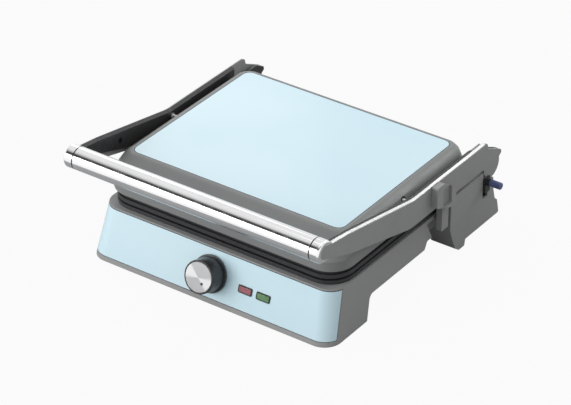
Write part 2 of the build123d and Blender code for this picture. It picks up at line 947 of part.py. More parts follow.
def arm_shell_with_slot():
    """Outer moulding of the right arm, with the slot that the lock slider runs in."""
    y_span = (tongue_front - cover_gap, tongue_rear + slider_travel + cover_gap)
    z_span = (tongue_low - hole_gap, tongue_high + hole_gap)
    lip_span = (z_span[0] - tongue_lip, z_span[1] + tongue_lip)
    shell = arm_shell() - block((cover_outer, arm_outer), y_span, z_span)
    return shell - block((cover_outer, tongue_inner + tongue_head + slide_gap), y_span, lip_span)


def core_side(extra):
    """Side view of the steel strap, larger by an extra amount."""
    return offset(cover_side(), amount=extra - core_inset)


def arm_core():
    """Steel strap inside the right arm."""
    core = side_shape(core_side(0), core_inner, cover_outer)
    core -= at_bar(bolt_radius + hole_gap, core_inner, cover_outer)
    core -= at_hinge(knuckle_boss + slip_gap, core_inner, cover_outer)
    core -= rod(lid_pin_radius + slip_gap, core_inner, cover_outer, lid_pivot_y, lid_pivot_z)
    return core - arm_screw_holes(arm_screw_boss + hole_gap, core_inner, cover_outer)


def arm_inner_cover():
    """Black inner moulding of the right arm, with the pocket that the steel strap lies in."""
    pocket = side_shape(core_side(slide_gap), core_inner - slip_gap, cover_outer)
    pocket -= arm_screw_holes(arm_screw_boss, arm_inner, cover_outer)
    cover = side_shape(cover_side(), arm_inner, cover_outer) + ridge(cover_side(), arm_inner, cover_outer)
    cover += ridge_cap()
    cover -= pocket
    cover -= at_bar(bolt_radius + hole_gap, arm_inner, cover_outer)
    cover -= at_hinge(knuckle_boss + slip_gap, arm_inner, cover_outer)
    cover -= rod(lid_pin_radius + slip_gap, arm_inner, cover_outer, lid_pivot_y, lid_pivot_z)
    cover -= arm_screw_holes(arm_screw_radius + hole_gap, arm_inner, cover_outer)
    return cover - arm_screw_holes(arm_screw_head + hole_gap, arm_inner, arm_inner + arm_screw_head_height)


def arm_strip():
    """Bright strip on the outer slope of the right arm's ridge."""
    return slanted(strip_side(0, 0), arm_outer, strip_inner, strip_rise)


def arm_screws():
    """Screws through the right arm's inner cover into its shell."""
    pin = screw(arm_screw_radius, arm_screw_length, arm_screw_head, arm_screw_head_height)
    seat = arm_inner + arm_screw_head_height
    return [Pos(seat, y, z) * Rot(0, 90, 0) * pin for y, z in arm_screw_places]


def lid_pivot_pin():
    """Pin riveted into the right arm's steel strap, with a collar on the arm's inner face."""
    pin = rod(lid_pin_radius, lid_pin_start, lid_pin_end, lid_pivot_y, lid_pivot_z)
    return pin + rod(lid_pin_collar, lid_pin_collar_start, arm_inner, lid_pivot_y, lid_pivot_z)


def hinge_bush():
    """Plain bush in the boss of the right arm's knuckle."""
    bush = at_hinge(hinge_bush_radius, knuckle_boss_inner, hinge_pin_tip)
    return bush - at_hinge(hinge_pin_radius + slip_gap, knuckle_boss_inner, hinge_pin_tip)


def handle_bar():
    """Polished tube between the arms."""
    tube = at_bar(bar_radius, -bar_half_length, bar_half_length)
    return tube - at_bar(bar_radius - bar_wall, -bar_half_length, bar_half_length)


def handle_ring():
    """Dark ring between the tube and the right end cap."""
    ring = at_bar(bar_radius - ring_depth, bar_half_length, cap_start)
    return ring - at_bar(bolt_radius + hole_gap, bar_half_length, cap_start)


def handle_end_cap():
    """Polished cup around the right arm's disc."""
    cap = at_bar(bar_radius, cap_start, arm_outer)
    cap = fillet(cap.faces().sort_by(Axis.X)[-1].edges(), cap_round)
    cap -= side_shape(offset(arm_side(), amount=slide_gap), arm_inner - slip_gap, arm_outer)
    return cap - at_bar(bolt_radius + hole_gap, cap_start, arm_outer)


def handle_plug():
    """Plug in the right end of the tube, tapped for the handle bolt."""
    start = bar_half_length - plug_length
    plug = at_bar(bar_radius - bar_wall - slip_gap, start, bar_half_length)
    return plug - at_bar(bolt_radius + slip_gap, start, bar_half_length)


def handle_bolt():
    """Bolt through the right arm's steel strap into the plug."""
    length = cover_outer - bar_half_length + bolt_bite
    bolt = screw(bolt_radius, length, bolt_head, bolt_head_height)
    return Pos(cover_outer, bar_y, bar_z) * Rot(0, -90, 0) * bolt


# Hinge blocks

def block_side():
    """Side view of a hinge block, with the pocket that the arm's knuckle turns in."""
    sole_front, sole_rear = block_sole
    corners = [((block_front, block_top), 1.5), ((block_front, block_leg_top), 2)]
    corners += [((block_front + y, z), bend) for y, z, bend in block_leg]
    corners += [((block_front + sole_front, foot_height), 2), ((block_front + sole_rear, foot_height), 1)]
    corners.append(((block_front + block_heel, block_heel_top), 1.5))
    corners += [((hinge_y + y, z), bend) for y, z, bend in block_rear]
    corners.append(((hinge_y + block_rear[-1][0], block_top), 0))
    side = outline([point for point, _ in corners], [bend for _, bend in corners])
    return side - Pos(hinge_y, hinge_z) * Circle(pocket_radius)


def ear():
    """Upright ear that holds the hinge pin beside the knuckle."""
    foot = [
        (hinge_y - ear_foot_front, rim_height - block_wall),
        (hinge_y + ear_foot_rear, rim_height - block_wall),
        (hinge_y + ear_radius, hinge_z),
        (hinge_y - ear_radius, hinge_z),
    ]
    side = make_face(Polyline(*foot, close=True)) + Pos(hinge_y, hinge_z) * Circle(ear_radius)
    return side_shape(side, ear_inner, ear_outer)


def block_hollow():
    """The space inside a hinge block, open towards the base."""
    inner = offset(block_side(), amount=-block_wall)
    neck = block_neck_inner + block_neck_wall
    hollow = side_shape(inner, neck, arm_outer - block_wall)
    low = block((block_inner + block_wall, neck), (0, far), (0, rim_height - block_wall))
    return hollow + (side_shape(inner, block_inner, neck) & low)


def hinge_block():
    """Right hinge block: leg under the base, side cheek, part behind the base, and ear."""
    whole = side_shape(block_side(), block_inner, arm_outer) - base_body()
    whole -= block((0, block_neck_inner), (0, far), (rim_height, far))
    whole -= block_hollow()
    bosses = [rod(block_boss, block_inner, arm_outer - block_wall, y, z) for y, z in block_screw_places]
    whole += [boss - base_body() for boss in bosses]
    for y, z in block_screw_places:
        whole -= rod(screw_radius, block_inner, block_screw_start + block_screw_length + hole_gap, y, z)
    whole -= rear_pad()
    return whole + ear() - at_hinge(hinge_pin_radius + slip_gap, ear_inner, ear_outer)


def hinge_block_right():
    """Right hinge block with the lever's slot and the lock lug's pocket."""
    y_span = (lever_y - lever_slot_half, lever_y + lever_slot_half)
    slot = block((arm_outer - block_wall, arm_outer), y_span, (lever_slot_low, hinge_z))
    pocket = block(
        (lug_inner - seam_gap, lug_outer + seam_gap),
        (block_front, block_front + 2 * block_wall),
        (lug_low - seam_gap, lug_high + seam_gap),
    )
    return hinge_block() - slot - pocket


def hinge_pin():
    """Stub shaft through the ear into the right arm's bush."""
    pin = at_hinge(hinge_pin_radius, ear_inner, hinge_pin_tip)
    return pin + at_hinge(hinge_pin_head, ear_inner - hinge_pin_head_height, ear_inner)


def block_screws():
    """Screws from inside the base into the right hinge block."""
    pin = screw(screw_radius, block_screw_length, screw_head, screw_head_height)
    return [Pos(block_screw_start, y, z) * Rot(0, 90, 0) * pin for y, z in block_screw_places]


# Release lever

def release_lever():
    """Slide plate inside the block with a spring shelf, and a face plate with a collar outside."""
    inner = arm_outer - block_wall - cover_gap - lever_sheet
    face = arm_outer + cover_gap
    y_span = (lever_y - lever_plate_half, lever_y + lever_plate_half)
    lever = block((inner, inner + lever_sheet), y_span, (lever_plate_low, lever_plate_top))
    shelf_top = lever_plate_low + lever_shelf
    lever += block((lever_shelf_inner, inner + lever_sheet), y_span, (lever_plate_low, shelf_top))
    lever += block((inner, face), y_span, (lever_neck_low, lever_plate_top))
    lever += block((face, face + lever_face_sheet), y_span, (lever_face_low, lever_face_top))
    lever += rod(collar_radius, face, collar_end, lever_y, collar_z)
    return lever


def release_tip():
    """Blue finger tip on the end of the lever."""
    tip = rod(tip_radius, collar_end, tip_end, lever_y, collar_z)
    return fillet(tip.faces().sort_by(Axis.X)[-1].edges(), tip_round)


def release_spring():
    """Compression spring between the block's floor and the lever's shelf."""
    floor = block_heel_top + block_wall + spring_wire + slide_gap
    height = lever_plate_low - spring_wire - slide_gap - floor
    path = Pos(spring_x, lever_y, floor) * Helix(height / spring_turns, height, spring_radius)
    start = Plane(origin=path @ 0, z_dir=path % 0)
    return sweep(start * Circle(spring_wire), path=path, is_frenet=True)


# Lock slider

def lock_slider():
    """Block with a finger groove on the arm's outside, a hanging leg and a locking lug."""
    inner = arm_outer + slide_gap
    outer = inner + slider_thickness
    side = outline(slider_outline, slider_corner)
    slider = side_shape(side, inner, outer)
    groove_low = groove_top - groove_height
    groove_middle = Pos(groove_y, groove_top - groove_height / 2)
    groove = groove_middle * RectangleRounded(groove_width, groove_height, groove_corner)
    front = groove_y - groove_width / 2
    rear = groove_y + groove_width / 2
    ramp_front = outer - groove_deep
    ramp_rear = outer - groove_depth
    ramp = Polyline((outer, front), (ramp_front, front), (ramp_rear, rear), (outer, rear), close=True)
    finger_room = Pos(0, 0, groove_low) * extrude(make_face(ramp), amount=groove_height)
    slider -= side_shape(groove, ramp_front, outer) & finger_room
    slider += block((leg_inner, arm_outer), (leg_front, leg_rear), (leg_bottom, leg_top))
    root = side & Pos((leg_front + leg_rear) / 2, leg_top - 5) * Rectangle(leg_rear - leg_front, 10)
    slider += side_shape(root, leg_inner, outer - groove_depth)
    slider += block((lug_inner, lug_outer), (leg_rear - 1, lug_tip), (lug_low, lug_high))
    neck = block((tongue_inner, inner + 1), (tongue_front, tongue_rear), (tongue_low, tongue_high))
    lip_span = (tongue_low - tongue_lip, tongue_high + tongue_lip)
    head = block((tongue_inner, tongue_inner + tongue_head), (tongue_front, tongue_rear), lip_span)
    return slider + neck + head


# Knob, thermostat and lamps

def shaft_side(radius):
    """A round section with one flat."""
    return Circle(radius) - Pos(0, 2 * radius - shaft_flat) * Rectangle(2 * radius, 2 * radius)


def knob_body():
    """Black knob with its skirt, square to the front."""
    top = knob_gap + knob_skirt_thickness
    body = Pos(0, 0, knob_gap) * extrude(Circle(knob_skirt_radius), amount=knob_skirt_thickness)
    nose_foot = Pos(0, 0, top) * Circle(knob_foot_radius)
    nose_end = Pos(0, 0, knob_length) * Circle(knob_nose_radius)
    nose = loft([nose_foot, nose_end])
    nose = chamfer(nose.edges().sort_by(Axis.Z)[-1], knob_edge)
    body += nose
    cap_seat = extrude(Circle(knob_cap_radius + hole_gap), amount=2 * knob_cap_thickness)
    body -= Pos(0, 0, knob_length - knob_cap_thickness) * cap_seat
    body -= Pos(0, 0, knob_gap) * extrude(shaft_side(shaft_radius + slip_gap), amount=shaft_reach)
    return front_place(0, knob_height) * body


def pointer_spot():
    """Place of the pointer dot on the knob's face."""
    turn = radians(pointer_angle)
    return Pos(pointer_reach * cos(turn), pointer_reach * sin(turn), knob_length - knob_cap_thickness)


def knob_cap():
    """Spun metal disc in the knob's face."""
    disc = extrude(Circle(knob_cap_radius), amount=knob_cap_thickness)
    disc = Pos(0, 0, knob_length - knob_cap_thickness) * disc
    disc -= pointer_spot() * extrude(Circle(pointer_radius + slip_gap), amount=knob_cap_thickness)
    return front_place(0, knob_height) * disc


def knob_pointer():
    """Dark dot let into the disc."""
    dot = extrude(Circle(pointer_radius), amount=knob_cap_thickness + pointer_proud)
    return front_place(0, knob_height) * pointer_spot() * dot


def knob_shaft():
    """Flatted shaft from the thermostat to the knob."""
    length = shaft_depth + knob_gap + shaft_reach - hole_gap
    shaft = extrude(shaft_side(shaft_radius), amount=length)
    return front_place(0, knob_height) * Pos(0, 0, -shaft_depth) * shaft


def thermostat():
    """Thermostat body behind the console's front."""
    collar = Pos(0, 0, -shaft_depth - slide_gap) * extrude(Circle(shaft_radius + 2), amount=-2)
    body = Box(thermostat_width, thermostat_height, thermostat_depth)
    body = Pos(0, 0, -shaft_depth - thermostat_depth / 2 - 1) * body
    return front_place(0, knob_height) * (body + collar)


def thermostat_bracket():
    """Bent sheet that carries the thermostat on the front wall."""
    inner_face = -wall * cos(radians(lean)) - slip_gap
    back = -shaft_depth - 1
    plate_mid = back + bracket_sheet / 2
    sheet = Pos(0, 0, plate_mid) * Box(bracket_width, bracket_height, bracket_sheet)
    for side in (-1, 1):
        x = side * (bracket_width - bracket_sheet) / 2
        sheet += Pos(x, 0, (inner_face + back) / 2) * Box(bracket_sheet, bracket_height, inner_face - back)
    sheet -= Pos(0, 0, back) * extrude(Circle(shaft_radius + 3), amount=bracket_sheet)
    return front_place(0, knob_height) * sheet


def lamp_box(inset_by, radius):
    """Round-cornered lamp outline, drawn in by an amount."""
    return RectangleRounded(bezel_width - 2 * inset_by, bezel_height - 2 * inset_by, radius)


def lamp_bezel(x):
    """Dark frame around a lens, with a neck through the front wall."""
    frame = extrude(lamp_box(0, 2.2), amount=bezel_proud)
    frame += Pos(0, 0, -bezel_depth) * extrude(lamp_box(bezel_neck_inset, 1.4), amount=bezel_depth)
    hole = extrude(lamp_box(lens_inset - slip_gap, 1), amount=bezel_depth + bezel_proud)
    return front_place(x, lamp_height) * (frame - Pos(0, 0, -bezel_depth) * hole)


def lamp_lens(x):
    """Clear coloured lens in its frame."""
    lens = Pos(0, 0, lens_proud - lens_thickness) * extrude(lamp_box(lens_inset, 1), amount=lens_thickness)
    return front_place(x, lamp_height) * lens


def neon_lamp(x):
    """Small glass lamp behind a lens, held between the ends of its bezel."""
    length = bezel_width - 2 * lens_inset
    tube = Pos(-length / 2, 0, -neon_depth) * Rot(0, 90, 0) * extrude(Circle(neon_radius), amount=length)
    return front_place(x, lamp_height) * tube


# Wiring

def terminal_block():
    """Three-pole terminal block on the bottom cover."""
    floor = tail_height + cover_thickness
    body = Pos(terminal_x, terminal_y, floor + terminal_size[2] / 2) * Box(*terminal_size)
    for step in (-1, 0, 1):
        body -= post(terminal_well, terminal_x + step * terminal_pitch, terminal_y, floor + 4, floor + 20)
    return body


def base_wires():
    """Two wires from the terminal block to the thermostat."""
    back = shaft_depth + 1 + thermostat_depth
    goal = front_place(0, knob_height) * Pos(0, 0, -back - slide_gap)
    outward = (0, -cos(radians(lean)), sin(radians(lean)))
    wires = []
    for side in (-1, 1):
        x = terminal_x + side * wire_spread
        end = (side * wire_spread, goal.position.Y, goal.position.Z)
        start = (x, terminal_y - terminal_size[1] / 2 - slide_gap, wire_height)
        middle = [(x, 0, wire_height), (x, -50, wire_height - 3)]
        path = Spline(start, *middle, end, tangents=((0, -1, 0), outward))
        wires.append(sweep(Plane(origin=path @ 0, z_dir=path % 0) * Circle(wire_radius), path=path))
    return wires


def cord_gland():
    """Strain relief in the rear wall, where a supply cord would enter."""
    gland = rod_to_rear(gland_radius, gland_inner, gland_outer, terminal_x, gland_z)
    collar_end = gland_collar_start + gland_collar_thickness
    gland += rod_to_rear(gland_collar, gland_collar_start, collar_end, terminal_x, gland_z)
    return gland - rod_to_rear(gland_bore, gland_inner, gland_outer, terminal_x, gland_z)


# Base
save("base_housing", base_housing())
save("base_bottom_cover", base_bottom_cover())
save("front_panel", front_panel())
save("lower_plate", lower_plate())
save("lower_heating_element", element(low_underside - element_gap - element_radius))
save("lower_heat_shield", lower_heat_shield())
save("lower_element_clips", *[on_lower(clip) for clip in clips()])
save("lower_thermal_fuse", on_lower(thermal_fuse()))
save("thermostat", thermostat())
save("thermostat_bracket", thermostat_bracket())
save("red_lamp_lens", lamp_lens(red_lamp_x))
save("green_lamp_lens", lamp_lens(green_lamp_x))
save("lamp_bezels", lamp_bezel(red_lamp_x), lamp_bezel(green_lamp_x))
save("neon_lamps", neon_lamp(red_lamp_x), neon_lamp(green_lamp_x))
save("terminal_block", terminal_block())
save("base_wires", *base_wires())
save("cord_gland", cord_gland())
save("rubber_feet", *rubber_feet())
save("base_screws", *base_screws())
save("hinge_block_right", hinge_block_right())
save("hinge_block_left", left(hinge_block()))
save("hinge_pins", hinge_pin(), left(hinge_pin()))
save("hinge_block_screws", *block_screws(), *[left(pin) for pin in block_screws()])
save("release_spring", release_spring())

# Pieces that move on the base
save("knob_body", knob_body())
save("knob_cap", knob_cap())
save("knob_pointer", knob_pointer())
save("knob_shaft", knob_shaft())
save("release_lever", release_lever())
save("release_tip", release_tip())

# Arms and handle
save("right_arm_shell", arm_shell_with_slot())
save("left_arm_shell", left(arm_shell()))
save("right_arm_core", arm_core())
save("left_arm_core", left(arm_core()))
save("right_arm_inner_cover", arm_inner_cover())
save("left_arm_inner_cover", left(arm_inner_cover()))
save("right_arm_strip", arm_strip())
save("left_arm_strip", left(arm_strip()))
save("arm_screws", *arm_screws(), *[left(pin) for pin in arm_screws()])
save("hinge_bushes", hinge_bush(), left(hinge_bush()))
save("handle_bar", handle_bar())
save("handle_rings", handle_ring(), left(handle_ring()))
save("handle_end_caps", handle_end_cap(), left(handle_end_cap()))
save("handle_plugs", handle_plug(), left(handle_plug()))
save("handle_bolts", handle_bolt(), left(handle_bolt()))
save("lid_pivot_pins", lid_pivot_pin(), left(lid_pivot_pin()))
save("lock_slider", lock_slider())

# Lid
save("lid_frame", lid_frame())
save("lid_panel", lid_panel())
save("upper_plate", upper_plate())
save("upper_heating_element", element(high_back + element_gap + element_radius))
save("upper_heat_shield", upper_heat_shield())
save("upper_element_clips", *[on_upper(clip) for clip in clips()])
save("upper_thermal_fuse", on_upper(thermal_fuse()))
save("lid_pivot_bushes", lid_pivot_bush(), left(lid_pivot_bush()))
save("lid_screws", *lid_screws())
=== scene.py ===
import bmesh
import bpy
import json
import math
from mathutils import Matrix, Vector

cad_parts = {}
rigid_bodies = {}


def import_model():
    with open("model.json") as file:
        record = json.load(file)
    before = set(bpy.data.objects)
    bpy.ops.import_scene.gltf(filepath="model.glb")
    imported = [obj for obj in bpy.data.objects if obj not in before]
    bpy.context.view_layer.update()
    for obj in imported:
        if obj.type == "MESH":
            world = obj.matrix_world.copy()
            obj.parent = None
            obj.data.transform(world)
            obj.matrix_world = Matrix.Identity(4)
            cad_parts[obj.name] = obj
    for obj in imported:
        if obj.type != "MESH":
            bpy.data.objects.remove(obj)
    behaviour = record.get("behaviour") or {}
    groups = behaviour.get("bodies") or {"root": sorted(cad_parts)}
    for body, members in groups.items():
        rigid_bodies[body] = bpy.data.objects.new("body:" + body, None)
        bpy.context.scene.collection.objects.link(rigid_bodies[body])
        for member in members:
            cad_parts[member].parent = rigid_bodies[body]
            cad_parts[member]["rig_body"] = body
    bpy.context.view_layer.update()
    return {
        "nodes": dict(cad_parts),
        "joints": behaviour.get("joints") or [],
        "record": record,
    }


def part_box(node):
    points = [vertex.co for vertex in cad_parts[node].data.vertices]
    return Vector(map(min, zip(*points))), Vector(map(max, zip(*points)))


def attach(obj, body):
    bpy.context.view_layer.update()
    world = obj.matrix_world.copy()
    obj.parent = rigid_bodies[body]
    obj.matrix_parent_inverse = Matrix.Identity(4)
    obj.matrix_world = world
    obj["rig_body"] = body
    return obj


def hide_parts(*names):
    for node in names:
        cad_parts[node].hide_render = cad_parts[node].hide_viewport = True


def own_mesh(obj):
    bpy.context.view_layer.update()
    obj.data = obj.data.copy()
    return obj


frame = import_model()
nodes = frame["nodes"]
joints = {joint["name"]: joint for joint in frame["joints"]}
slots = {part["node"]: part["material_slot"] for part in frame["record"]["subparts"]}
MM = 0.001
WHITE = (1, 1, 1, 1)

# The photograph's viewing angle
TARGET = Vector((0.0605, -0.0864, 0.1166))
AZIMUTH = math.radians(35.5)
ELEVATION = math.radians(32.09)
ROLL = math.radians(0.1)
DISTANCE = 2.88
LENS = 172.93
SENSOR = 36.0
VIEW_LIMIT = 30

# Edges that turn more than the first angle are broken, and under the second one they are flat
SHARP_TURN = math.radians(34)
FLAT_TURN = math.radians(0.6)
WELD = 0.002 * MM
CORNER_STEPS = 2
RIM_SLOT = 1

# Studio floor: how far out it turns bright in reflections, and how much of its look is its own glow
FLOOR_SIZE = 12.0
BRIGHT_FROM = 0.42
BRIGHT_FULL = 0.5
FLOOR_GLOW = 0.94

# Daylight from the left to the right, and the stretch over which the front wall meets the rear one
DAYLIGHT = (0.97, 0.985, 1.0, 1)
DAYLIGHT_LEFT = 1.1
DAYLIGHT_RIGHT = 0.42
WALL_SEAM = 0.1

# Brightness of the walls in reflections, from the foot, 0, over the horizon, 0.5, to the zenith, 1
FRONT_WALL = (
    (0.0, 0.5), (0.5, 1.0), (0.735, 1.0), (0.765, 0.04),
    (0.85, 0.05), (0.88, 0.4), (0.92, 0.8), (1.0, 0.95),
)
REAR_WALL = ((0.0, 0.5), (0.5, 0.85), (1.0, 0.85))

# What the lamps are aimed at
LAMP_AIM = Vector((0, 0, 0.06))


def camera_at_photo_angle():
    """Camera that sees the object as the photograph does."""
    back = Vector((
        math.sin(AZIMUTH) * math.cos(ELEVATION),
        -math.cos(AZIMUTH) * math.cos(ELEVATION),
        math.sin(ELEVATION),
    ))
    data = bpy.data.cameras.new("photo_camera")
    data.sensor_width = SENSOR
    data.sensor_fit = "HORIZONTAL"
    data.lens = LENS
    data.clip_end = VIEW_LIMIT
    camera = bpy.data.objects.new("photo_camera", data)
    bpy.context.scene.collection.objects.link(camera)
    turn = back.to_track_quat("Z", "Y").to_matrix().to_4x4() @ Matrix.Rotation(-ROLL, 4, "Z")
    camera.matrix_world = Matrix.Translation(TARGET + back * DISTANCE) @ turn
    bpy.context.scene.camera = camera


# Shader nodes that both the finishes and the studio use

def calculate(tree, operation, *values):
    """Result of a sum on constants and on other nodes' outputs."""
    node = tree.nodes.new("ShaderNodeMath")
    node.operation = operation
    for socket, value in zip(node.inputs, values):
        if isinstance(value, bpy.types.NodeSocket):
            tree.links.new(value, socket)
        else:
            socket.default_value = value
    return node.outputs["Value"]


def map_range(tree, value, start, end, low, high, curve="LINEAR"):
    """A value taken from one range to another."""
    node = tree.nodes.new("ShaderNodeMapRange")
    node.interpolation_type = curve
    node.inputs["From Min"].default_value = start
    node.inputs["From Max"].default_value = end
    node.inputs["To Min"].default_value = low
    node.inputs["To Max"].default_value = high
    tree.links.new(value, node.inputs["Value"])
    return node.outputs["Result"]


def mixed_shader(tree, share, first, second):
    """The first shader, with a share of the second in its place."""
    node = tree.nodes.new("ShaderNodeMixShader")
    tree.links.new(share, node.inputs["Fac"])
    tree.links.new(first, node.inputs[1])
    tree.links.new(second, node.inputs[2])
    return node.outputs[0]


def ray_kinds(tree):
    """Which rays come from the camera, also through a clear piece, and which are reflections."""
    path = tree.nodes.new("ShaderNodeLightPath")
    seen = calculate(tree, "MAXIMUM", path.outputs["Is Camera Ray"], path.outputs["Is Transmission Ray"])
    return seen, path.outputs["Is Glossy Ray"]


# Materials: each finish has its own grain, bump and small changes of colour and gloss

def shade(colour, factor, lift=0.0):
    """A colour made lighter or darker."""
    return tuple(c * factor + lift for c in colour)


class Finish:
    """A material under construction, with the pieces that every finish shares."""

    def __init__(self, name, colour, roughness, metallic=0.0, **sockets):
        self.material = bpy.data.materials.new(name)
        self.material.use_nodes = True
        self.tree = self.material.node_tree
        self.shader = self.tree.nodes["Principled BSDF"]
        self.colour = (*colour, 1.0)
        self.shader.inputs["Base Color"].default_value = self.colour
        self.shader.inputs["Roughness"].default_value = roughness
        self.shader.inputs["Metallic"].default_value = metallic
        for socket, value in sockets.items():
            self.shader.inputs[socket.replace("_", " ")].default_value = value
        self.place = self.tree.nodes.new("ShaderNodeTexCoord").outputs["Object"]
        self.height = None

    def link(self, output, socket):
        self.tree.links.new(output, socket)

    def placed(self, stretch=(1, 1, 1), centre=(0, 0, 0), turn=(0, 0, 0)):
        """Object coordinates about a centre, turned and stretched."""
        shift = self.tree.nodes.new("ShaderNodeVectorMath")
        shift.operation = "SUBTRACT"
        shift.inputs[1].default_value = centre
        self.link(self.place, shift.inputs[0])
        mapping = self.tree.nodes.new("ShaderNodeMapping")
        mapping.inputs["Rotation"].default_value = turn
        mapping.inputs["Scale"].default_value = stretch
        self.link(shift.outputs[0], mapping.inputs["Vector"])
        return mapping.outputs["Vector"]

    def noise(self, scale, detail, rough=0.55, where=None):
        """Cloudy pattern of so many grains to the metre."""
        node = self.tree.nodes.new("ShaderNodeTexNoise")
        node.inputs["Scale"].default_value = scale
        node.inputs["Detail"].default_value = detail
        node.inputs["Roughness"].default_value = rough
        self.link(where or self.placed(), node.inputs["Vector"])
        return node.outputs["Fac"]

    def spread(self, value, low, high, start=0.3, end=0.7):
        """The middle of a pattern's range eased over another range."""
        return map_range(self.tree, value, start, end, low, high, "SMOOTHSTEP")

    def gloss(self, value, low, high):
        """Roughness that changes over the surface."""
        self.link(self.spread(value, low, high), self.shader.inputs["Roughness"])

    def tint(self, value, other, share):
        """The colour mixed with up to that share of another one."""
        node = self.tree.nodes.new("ShaderNodeMix")
        node.data_type = "RGBA"
        source = self.shader.inputs["Base Color"]
        if source.is_linked:
            self.link(source.links[0].from_socket, node.inputs["A"])
        else:
            node.inputs["A"].default_value = self.colour
        node.inputs["B"].default_value = (*other, 1.0)
        self.link(self.spread(value, 0.0, share), node.inputs["Factor"])
        self.link(node.outputs["Result"], source)

    def relief(self, value, depth, strength):
        """Bumps of a depth in millimetres, laid over whatever relief there is."""
        node = self.tree.nodes.new("ShaderNodeBump")
        node.inputs["Strength"].default_value = strength
        node.inputs["Distance"].default_value = depth * MM
        self.link(value, node.inputs["Height"])
        if self.height:
            self.link(self.height, node.inputs["Normal"])
        self.height = node.outputs["Normal"]
        self.link(self.height, self.shader.inputs["Normal"])


def moulded(name, colour, roughness=0.46):
    """Injection-moulded plastic with a fine spark-eroded texture and a little flow haze."""
    finish = Finish(name, colour, roughness, Specular_IOR_Level=0.42)
    finish.tint(finish.noise(9, 4), shade(colour, 1.16, 0.004), 0.55)
    finish.tint(finish.noise(1900, 2), shade(colour, 0.86), 0.5)
    finish.gloss(finish.noise(60, 5), roughness - 0.06, roughness + 0.07)
    finish.relief(finish.noise(2600, 2), 0.05, 0.35)
    finish.relief(finish.noise(700, 3), 0.08, 0.18)
    return finish.material


def gloss_moulded(name, colour, roughness):
    """Smooth plastic under a thin sheen, with faint wear."""
    finish = Finish(name, colour, roughness, Specular_IOR_Level=0.5, Coat_Weight=0.15, Coat_Roughness=0.2)
    finish.tint(finish.noise(30, 4), shade(colour, 1.3, 0.004), 0.5)
    finish.gloss(finish.noise(90, 3), roughness - 0.03, roughness + 0.05)
    finish.relief(finish.noise(1400, 2), 0.03, 0.08)
    return finish.material


def lacquered(name, colour, deeper):
    """Sheet metal under a pale satin lacquer: orange peel, and a soft drift of colour."""
    finish = Finish(name, colour, 0.3, Specular_IOR_Level=0.5, Coat_Weight=0.3, Coat_Roughness=0.1)
    finish.tint(finish.noise(5, 2), deeper, 0.7)
    finish.gloss(finish.noise(5, 1), 0.28, 0.34)
    finish.relief(finish.noise(620, 2), 0.02, 0.06)
    return finish.material


def brushed(name, colour, roughness, stretch):
    """Metal with fine lines along one direction."""
    finish = Finish(name, colour, roughness, 1.0)
    lines = finish.noise(900, 4, 0.7, finish.placed(stretch))
    finish.tint(lines, shade(colour, 0.82), 0.8)
    finish.gloss(lines, roughness - 0.07, roughness + 0.1)
    finish.relief(lines, 0.04, 0.3)
    return finish.material


def polished(name, colour, roughness):
    """Bright metal with wiping marks that only show in its gloss."""
    finish = Finish(name, colour, roughness, 1.0)
    finish.gloss(finish.noise(70, 6, 0.7), roughness * 0.6, roughness * 1.7)
    finish.tint(finish.noise(14, 4), shade(colour, 0.95), 0.6)
    finish.relief(finish.noise(260, 4, 0.5, finish.placed((0.05, 1, 1))), 0.01, 0.2)
    return finish.material


def cast_coating(name, colour):
    """Dark non-stick coat on a casting: pale flecks and a fine dimple."""
    finish = Finish(name, colour, 0.42, Specular_IOR_Level=0.45)
    cells = finish.tree.nodes.new("ShaderNodeTexVoronoi")
    cells.inputs["Scale"].default_value = 780
    finish.link(finish.placed(), cells.inputs["Vector"])
    finish.tint(finish.noise(12, 4), shade(colour, 1.6), 0.6)
    flecks = calculate(finish.tree, "LESS_THAN", cells.outputs["Distance"], 0.16)
    finish.tint(flecks, (0.16, 0.16, 0.165), 0.55)
    finish.gloss(finish.noise(150, 5), 0.34, 0.5)
    finish.relief(finish.noise(1300, 3), 0.08, 0.35)
    return finish.material


def oxidised(name):
    """Heated steel tube with straw and blue stains."""
    finish = Finish(name, (0.2, 0.18, 0.16), 0.45, 1.0)
    finish.tint(finish.noise(35, 4), (0.30, 0.20, 0.12), 0.8)
    blue_stains = finish.noise(22, 3, 0.5, finish.placed(centre=(0.3, 0.1, 0)))
    finish.tint(blue_stains, (0.12, 0.13, 0.2), 0.7)
    finish.gloss(finish.noise(300, 5), 0.35, 0.6)
    finish.relief(finish.noise(900, 3), 0.05, 0.3)
    return finish.material


def rubbery(name, colour):
    """Matt rubber with a talc haze."""
    finish = Finish(name, colour, 0.8, Specular_IOR_Level=0.3)
    finish.tint(finish.noise(50, 5), shade(colour, 2.2, 0.01), 0.6)
    finish.relief(finish.noise(1500, 3), 0.08, 0.4)
    finish.gloss(finish.noise(90, 4), 0.7, 0.9)
    return finish.material


